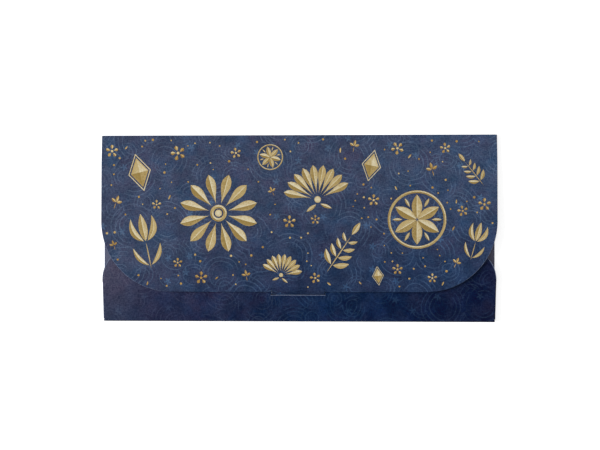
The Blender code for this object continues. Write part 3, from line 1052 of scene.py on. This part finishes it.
def leaf(start, end, width, swell=1.0, bow=0.0, ridge=0.06, steps=9):
    """A leaf from start to end. Swell over 1 moves its widest place outwards."""
    start, end = Vector(start), Vector(end)
    run = end - start
    left = Vector((-run.y, run.x)).normalized()
    rails = [[(*start, 0.5)] for _ in range(4)]
    for step in range(1, steps):
        share = step / steps
        middle = start + run * share + left * bow * 4 * share * (1 - share)
        half = width / 2 * math.sin(math.pi * share ** swell) ** LEAF_FULLNESS
        thin = half * ridge
        for rail, reach, crown in zip(rails, (-half, -thin, thin, half), (0.0, 1.0, 1.0, 0.0)):
            rail.append((*(middle + left * reach), crown))
    for rail in rails:
        rail.append((*end, 0.5))
    tones = (lit(-left), RIDGE_TONE, lit(left))
    return sum(map(facets, rails, rails[1:], tones), [])


def round_rail(centre, radius, crown, sides):
    """A closed rail round a centre."""
    turns = [math.tau * (step % sides) / sides for step in range(sides + 1)]
    return [(*on_circle(centre, radius, turn), crown) for turn in turns]


def disc(centre, radius, tone=BUTTON_TONE, sides=14):
    """A round dot, brightest in the middle."""
    return facets(round_rail(centre, radius, 0.0, sides), [(*centre, 1.0)] * (sides + 1), tone)


def ring(outer, inner, sides=40):
    """A ring with a ridge, whose two slopes catch the light on opposite sides."""
    crowns = ((outer, 0.0), ((outer + inner) / 2, 1.0), (inner, 0.0))
    rails = [round_rail((0, 0), radius, crown, sides) for radius, crown in crowns]
    faces = []
    for first, second, slope in zip(rails, rails[1:], (1, -1)):
        for corners, _ in facets(first, second, 0.0):
            middle = Vector((sum(c[0] for c in corners), sum(c[1] for c in corners)))
            faces.append((corners, lit(middle * slope)))
    return faces


def spray(turns, near, far, width, foot=0.0, **shape):
    """Leaves at angles in degrees that point away from the middle, or from a foot below it."""
    faces = []
    for turn in map(math.radians, turns):
        start, end = (on_circle((0.0, foot), reach, turn) for reach in (near, far))
        faces += leaf(start, end, width, **shape)
    return faces


def pair(start, end, width, bow=0.0, **shape):
    """A leaf at the right of the middle, and its reflection."""
    faces = []
    for side in (-1, 1):
        ends = (side * start[0], start[1]), (side * end[0], end[1])
        faces += leaf(*ends, width, bow=-side * bow, **shape)
    return faces


# %% The motifs
def rosette():
    """Twelve round-ended petals round a button."""
    petals = spray(range(15, 375, 30), 0.125, 0.5, 0.125, swell=1.7, ridge=0.07)
    return petals + ring(0.105, 0.062, 24) + disc((0, 0), 0.045)


def hexafoil():
    """Six lens petals in a ring, as drawn with compasses."""
    petals = spray(range(90, 450, 60), 0.012, 0.43, 0.18, ridge=0.07)
    darts = spray(range(120, 480, 60), 0.25, 0.42, 0.05, ridge=0.1, steps=6)
    return ring(0.5, 0.455, 48) + petals + darts


def fan():
    """Nine blades that open from a small button."""
    foot = -0.25
    turns = [20 + 17.5 * number for number in range(9)]
    blades = spray(turns, 0.09, 0.52, 0.115, foot, swell=2.1, ridge=0.07)
    stalks = pair((0.03, foot - 0.07), (0.19, foot - 0.16), 0.055, ridge=0.1, steps=6)
    return disc((0, foot), 0.05) + blades + stalks


def sprig():
    """A stem with paired leaves and one leaf at the top."""
    faces = leaf((0, -0.5), (0, 0.24), 0.020, ridge=0.0, steps=6)
    for number in range(4):
        foot = -0.34 + 0.15 * number
        size = 0.27 - 0.035 * number
        tip = (size * 0.86, foot + size * 0.62)
        faces += pair((0.018, foot), tip, size * 0.34, bow=size * 0.07, ridge=0.07)
    return faces + leaf((0, 0.255), (0, 0.5), 0.09, ridge=0.07)


def lozenge():
    """A cushion-cut lozenge of four facets inside a thin frame."""
    corners = [Vector(p) for p in ((0.30, 0), (0, 0.5), (-0.30, 0), (0, -0.5), (0.30, 0))]
    crowns = ((1.0, 0.3), (0.91, 0.8), (0.78, 0.0))
    outer, inner, cushion = [[(*(corner * share), crown) for corner in corners] for share, crown in crowns]
    faces = facets(outer, inner, BUTTON_TONE)
    for near, far, *ends in zip(cushion, cushion[1:], corners, corners[1:]):
        faces.append(([near, far, (0.0, 0.0, 1.0)], lit(ends[0] + ends[1])))
    return faces


def tulip():
    """A cup of three petals on a stem with two long leaves."""
    faces = leaf((0, -0.5), (0, -0.02), 0.022, ridge=0.0, steps=6)
    faces += leaf((0, 0.0), (0, 0.5), 0.155, swell=0.9)
    faces += pair((0.035, 0.0), (0.19, 0.44), 0.12, bow=0.075, swell=0.85)
    return faces + pair((0.02, -0.44), (0.25, -0.08), 0.08, bow=0.05, ridge=0.07)


def floret():
    """Five short petals round a dot."""
    petals = spray(range(90, 450, 72), 0.14, 0.5, 0.24, swell=1.6, ridge=0.05, steps=6)
    return disc((0, 0), 0.10, sides=10) + petals


def trefoil():
    """Three leaves that meet at a short stem."""
    faces = leaf((0, -0.03), (0, -0.45), 0.05, ridge=0.0, steps=5)
    for far, turns in ((0.5, [90]), (0.42, [25, 155])):
        faces += spray(turns, 0.03, far, 0.19, ridge=0.05, steps=6)
    return faces


def seed():
    """One small leaf."""
    return leaf((0, -0.5), (0, 0.5), 0.34, ridge=0.05, steps=5)


def drop():
    """A plain dot."""
    return disc((0, 0), 0.5, DOT_TONE, 9)


MOTIFS = [rosette, hexafoil, fan, sprig, lozenge, tulip, floret, trefoil, seed, drop]
MOTIF_MERGE = 0.0001


def draw_motifs():
    """One flat mesh for each motif, in a collection that isn't part of the scene."""
    shelf = bpy.data.collections.new("motifs")
    for number, draw in enumerate(MOTIFS):
        builder = bmesh.new()
        tone = builder.faces.layers.float.new("tone")
        crown = builder.verts.layers.float.new("crown")
        for points, value in draw():
            upward_face(builder, points, crown)[tone] = value
        mesh = built_mesh(builder, f"motif_{number:02d}_{draw.__name__}", MOTIF_MERGE)
        shelf.objects.link(bpy.data.objects.new(mesh.name, mesh))
        print(mesh.name, len(mesh.polygons), "faces")
    return shelf


shelf = draw_motifs()

# %% [markdown]
# ## Printing the flap
# The layout is listed: a motif, its place on the closed front in mm, its size and its turn.
# A seeded scatter of dots and seeds fills the gaps. A node tree puts the motifs on their points,
# gives the ink its film thickness and tilts the print to the flap.

# %% Layout of the print
LARGE = [
    (rosette, -37, 7, 37, 0), (hexafoil, 55, 4, 27, 0), (fan, 8, 21, 31, 8), (sprig, 21, -9, 28, -34),
    (tulip, -71, -6, 26, 12), (lozenge, -74, 26, 18, 14), (sprig, 80, 27, 19, 38),
    (fan, -7, -17, 19, -10), (lozenge, 34, 29, 15, -12), (tulip, 82, -6, 18, -16),
    (hexafoil, -13, 33, 12, 15), (lozenge, 37, -22, 9, 6),
]
SMALL = [
    (floret, -87, 36, 6, 0), (floret, -56, 35, 7, 20), (trefoil, -85, 12, 7, -20),
    (floret, -66, 11, 4.5, 0), (floret, -29, 35, 5, 10), (trefoil, -12, 17, 5, 25),
    (floret, -4, 3, 6, 0), (trefoil, 26, 38, 6, -12), (floret, 46, 37, 6, 30),
    (floret, 35, 13, 5.5, 0), (trefoil, 62, 27, 7, 15), (floret, 68, 37, 5, 8),
    (floret, 86, 11, 6, 0), (trefoil, 73, -16, 5.5, -25), (floret, 46, -19, 5, 0),
    (floret, 8, -23, 5, 12), (trefoil, -24, -22, 5.5, 10), (floret, -45, -23, 6, 0),
    (floret, -56, -16, 4.5, 0), (floret, 8, 4, 4.5, 0), (trefoil, -86, -8, 5, 18),
    (floret, 62, -23, 4.5, 0), (floret, 76, 8, 5, 12),
]
DOT_COUNT = 120
DOT_SEED = 41
DOT_FIELD = ((-91, 91), (-29, 42))
DOT_KINDS = (drop, drop, drop, drop, seed)
DOT_SIZES = {drop: (0.6, 1.2), seed: (1.8, 2.6)}
MOTIF_AIR = 1.2
DOT_AIR = 1.0
EDGE_MARGIN = 1.5


def inside_flap(x, y):
    """Whether a place on the closed front is on the flap, well inside its edge."""
    right, low, high = (side / MM for side in (FLAP_HALF, FLAP_EDGE_Y, CREASE_Y))
    if abs(x) > right - EDGE_MARGIN or not low + EDGE_MARGIN < y < high - EDGE_MARGIN:
        return False
    corner = FLAP_CORNER / MM
    out = Vector((abs(x) - right + corner, y - low - corner))
    return out.x < 0 or out.y > 0 or out.length < corner - EDGE_MARGIN


def scatter_dots():
    """Seeds and dots in the gaps between the motifs."""
    chance = random.Random(DOT_SEED)
    taken = [(x, y, size / 2) for _, x, y, size, _ in LARGE + SMALL]
    dots = []
    while len(dots) < DOT_COUNT:
        x, y = [chance.uniform(*ends) for ends in DOT_FIELD]
        draw = chance.choice(DOT_KINDS)
        size = chance.uniform(*DOT_SIZES[draw])
        clear = all(math.dist((x, y), (a, b)) > far + size / 2 + MOTIF_AIR for a, b, far in taken)
        if clear and inside_flap(x, y):
            taken.append((x, y, size / 2 + DOT_AIR))
            dots.append((draw, x, y, size, chance.uniform(-180, 180)))
    return dots


def printing_tree():
    """Motifs on points, thickened to an ink film and laid on the flap."""
    inputs = [
        ("Motifs", "Collection"), ("Film", "Float"), ("Ink", "Material"),
        ("Crease centre", "Vector"), ("Tilt", "Vector"),
    ]
    bench, given = new_tree("printing", inputs)
    values = {"Separate Children": True, "Reset Children": True}
    motifs = bench.step("CollectionInfo", given["Motifs"], values)
    turn = bench.node("ShaderNodeCombineXYZ", None, {"Z": named(bench, "turn", "FLOAT")})
    shape = bench.step("InstanceOnPoints", bench.step("MeshToPoints", given["Geometry"]), {
        "Instance": motifs, "Pick Instance": True, "Instance Index": named(bench, "kind"),
        "Rotation": turn, "Scale": named(bench, "size", "FLOAT"),
    })
    shape = bench.step("RealizeInstances", shape)
    shape = bench.step("Group", shape, {"Thickness": given["Film"]}, {"node_tree": THICKEN})
    values = {"Translation": given["Crease centre"], "Rotation": given["Tilt"]}
    shape = bench.step("RealizeInstances", bench.step("Transform", shape, values))
    return bench.end(bench.step("SetMaterial", shape, {"Material": given["Ink"]}))


INK_FILM = 0.03 * MM
INK_SUNK = 0.015 * MM
PRINTING = printing_tree()


def printed(name, layout, ink):
    """The motifs of a layout as one thin piece on the flap's outer face."""
    draws, xs, ys, sizes, turns = zip(*layout)
    mesh = bpy.data.meshes.new(f"{name}_points")
    along = [(y * MM - CREASE_Y) / math.cos(RISE) for y in ys]
    mesh.from_pydata([(x * MM, y, CREASE_OUTER - INK_SUNK) for x, y in zip(xs, along)], [], [])
    columns = (
        ("kind", "INT", [MOTIFS.index(draw) for draw in draws]),
        ("size", "FLOAT", [size * MM for size in sizes]),
        ("turn", "FLOAT", [math.radians(turn) for turn in turns]),
    )
    for label, kind, numbers in columns:
        mesh.attributes.new(label, kind, "POINT").data.foreach_set("value", numbers)
    mesh.materials.append(ink)
    points = add_object(f"{name}_points", mesh)
    values = {
        "Motifs": shelf, "Film": INK_FILM, "Ink": ink,
        "Crease centre": (0.0, CREASE_Y, CREASE_OUTER), "Tilt": (-RISE, 0.0, 0.0),
    }
    run_tree(points, PRINTING, values)
    return made_plain(points, name)


large_print = printed("gold_print", LARGE, large_gold)
small_print = printed("ochre_print", SMALL + scatter_dots(), small_gold)

# %% [markdown]
# ## Floor and light
# The floor glows a little to the camera, so it looks pure white, and still takes a soft shadow. A
# large soft lamp stands low at the left, so that the flap's edge throws a shadow to the right, and
# the world fills in the rest.

# %% Stage
WHITE = (1, 1, 1)
FLOOR_COLOUR = (0.86, 0.86, 0.86)
FLOOR_GLOW = 0.70
FLOOR_SIZE = 3.0
FLOOR_DROP = 0.05 * MM
KEY_PLACE = Vector((-2.75, 0.10, 1.10))
KEY_SIZE = 1.1
KEY_POWER = 122.0
FILL = 0.34


def seen(bench):
    """1 for the camera, also through glass or in a reflection, and 0 for other light."""
    paths = bench.node("ShaderNodeLightPath", None, None, "Is Camera Ray")
    other = bench.sum("MAXIMUM", paths["Is Glossy Ray"], paths["Is Transmission Ray"])
    return bench.sum("MAXIMUM", paths, other)


def white_floor():
    """A white floor that glows to the camera and to reflections."""
    material, bench, shader = new_finish("floor")
    bench.feed(shader, {
        "Base Color": FLOOR_COLOUR, "Roughness": 0.9,
        "Emission Color": WHITE, "Emission Strength": seen(bench) * FLOOR_GLOW,
    })
    return material


builder = bmesh.new()
bmesh.ops.create_grid(builder, x_segments=8, y_segments=8, size=FLOOR_SIZE)
floor = add_object("floor", built_mesh(builder, "floor", SHEET_MERGE))
floor.data.materials.append(white_floor())
floor.location.z = -FLOOR_DROP

lamp = add_object("key_lamp", bpy.data.lights.new("key_lamp", "AREA"))
lamp.data.size = KEY_SIZE
lamp.data.energy = KEY_POWER
lamp.location = KEY_PLACE
lamp.rotation_euler = (-KEY_PLACE).to_track_quat("-Z", "Y").to_euler()

world = bpy.data.worlds.new("studio")
bpy.context.scene.world = world
world.use_nodes = True
sky = Bench(world.node_tree)
sky.feed(world.node_tree.nodes["Background"], {"Color": WHITE, "Strength": seen(sky) * (1 - FILL) + FILL})
bpy.context.scene.view_settings.view_transform = "Standard"
print("stage ready")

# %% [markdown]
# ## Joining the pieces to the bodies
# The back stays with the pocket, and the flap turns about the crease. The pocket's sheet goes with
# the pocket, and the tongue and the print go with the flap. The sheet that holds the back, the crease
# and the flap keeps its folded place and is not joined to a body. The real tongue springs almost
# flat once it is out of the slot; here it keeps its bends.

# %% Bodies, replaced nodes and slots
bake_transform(back_and_flap_card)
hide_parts("back_panel", "top_fold_back", "top_fold_flap", "closure_flap")

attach(pocket_front, "pocket")
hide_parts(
    "front_panel", "bottom_fold", "left_side_fold", "right_side_fold",
    "left_glue_tab", "right_glue_tab",
)

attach(tongue_card, "flap")
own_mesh(tongue_card)
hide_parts("tuck_tongue")

for piece in (large_print, small_print):
    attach(piece, "flap")

for side in ("left", "right"):
    line = frame["nodes"][f"{side}_glue_line"]
    for holder in line.material_slots:
        holder.link = "OBJECT"
        holder.material = adhesive
print("pieces joined")
